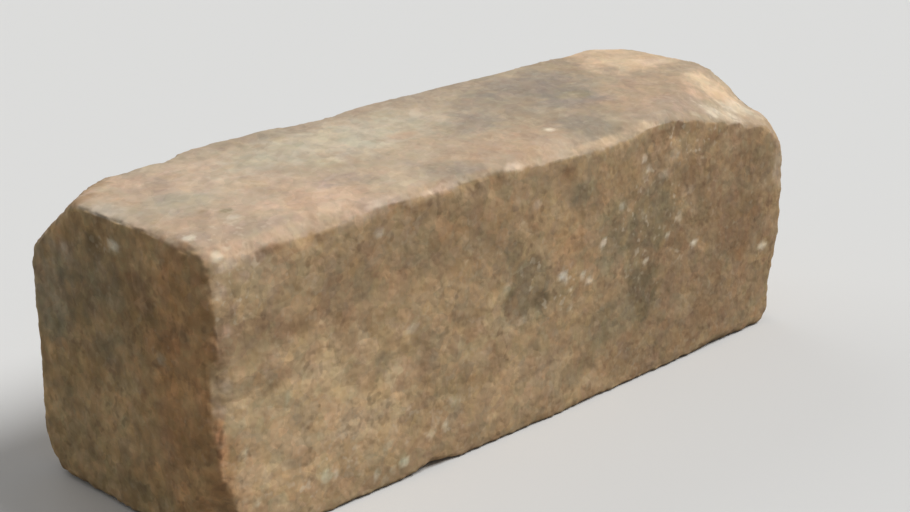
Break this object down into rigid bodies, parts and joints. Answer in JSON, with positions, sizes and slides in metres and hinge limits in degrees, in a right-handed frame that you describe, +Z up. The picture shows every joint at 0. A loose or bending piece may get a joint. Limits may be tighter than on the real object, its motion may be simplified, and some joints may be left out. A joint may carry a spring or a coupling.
{
  "type": "clay brick",
  "caption": "Small solid fired-clay paving brick with tumbled, chipped arrises and broken corners, lying on its bed face.",
  "frame": {"origin": "under the middle of the brick, on the plane of its bed face", "axes": "+X along the brick's length, from its left end to its right end; +Y across its width, from the front to the back; +Z up, away from the bed face"},
  "size_m": [0.2, 0.0669, 0.069],
  "materials": {
    "clay": "matte, rough fired clay, unglazed"
  },
  "bodies": {
    "root": {"brick": "clay"}
  },
  "joints": []
}
